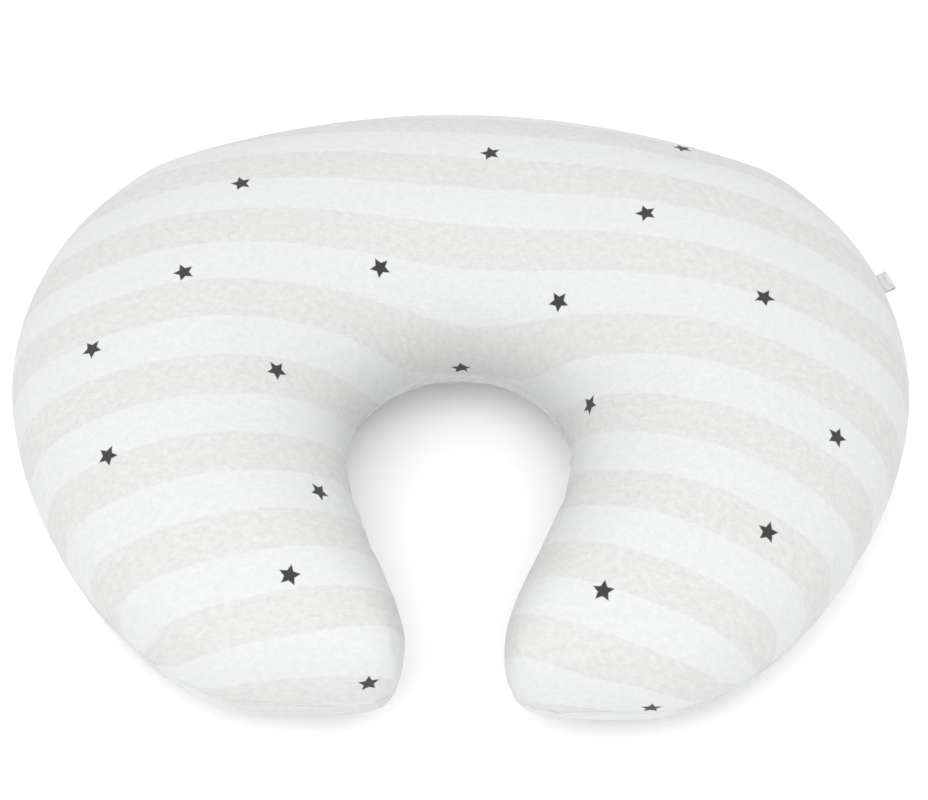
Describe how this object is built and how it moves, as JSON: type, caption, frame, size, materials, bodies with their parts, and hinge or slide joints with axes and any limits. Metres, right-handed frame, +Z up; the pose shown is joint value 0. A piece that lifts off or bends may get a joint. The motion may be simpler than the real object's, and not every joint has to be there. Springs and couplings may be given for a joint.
{
  "type": "nursing pillow",
  "caption": "Horseshoe-shaped feeding cushion in a striped, star-printed fabric cover with a zip at the back, an inner casing and a fibre filling.",
  "frame": {"origin": "on the floor, below the middle of the pillow's overall box", "axes": "+Z up, +Y towards the back of the pillow, +X across to the arm with the seam tab; the arms' tips point to -Y"},
  "size_m": [0.56, 0.425, 0.152],
  "materials": {
    "cover_cotton_top": "matte",
    "cover_cotton_under": "matte",
    "sewing_thread": "matte",
    "zip_tape": "matte",
    "zip_coil": "satin",
    "zip_metal": "satin",
    "tab_ribbon": "satin",
    "casing_cloth": "matte",
    "fibre": "matte"
  },
  "bodies": {
    "pillow": {"cover_top_panel": "cover_cotton_top", "cover_bottom_panel": "cover_cotton_under", "cover_seam_thread": "sewing_thread", "zip_tape_upper": "zip_tape", "zip_tape_lower": "zip_tape", "zip_coil_upper": "zip_coil", "zip_coil_lower": "zip_coil", "zip_topstitch_upper": "sewing_thread", "zip_topstitch_lower": "sewing_thread", "zip_top_stop_upper": "zip_metal", "zip_top_stop_lower": "zip_metal", "zip_bottom_stop": "zip_metal", "seam_tab": "tab_ribbon", "inner_casing_top": "casing_cloth", "inner_casing_bottom": "casing_cloth", "casing_seam_thread": "sewing_thread", "fibre_filling": "fibre"},
    "slider": {"zip_slider": "zip_metal"},
    "pull": {"zip_pull": "zip_metal"}
  },
  "joints": [
    {"name": "zip_slider_travel", "type": "hinge", "parent": "pillow", "child": "slider", "pos_m": [0, -0.238, 0.07], "axis": [0, 0, 1], "range_deg": [0, 41.2], "deforming": ["zip_coil_upper", "zip_coil_lower", "zip_tape_upper", "zip_tape_lower"]},
    {"name": "zip_pull_swing", "type": "hinge", "parent": "slider", "child": "pull", "pos_m": [0.16098, 0.18554, 0.07], "axis": [0, 0, -1], "range_deg": [0, 170]}
  ]
}
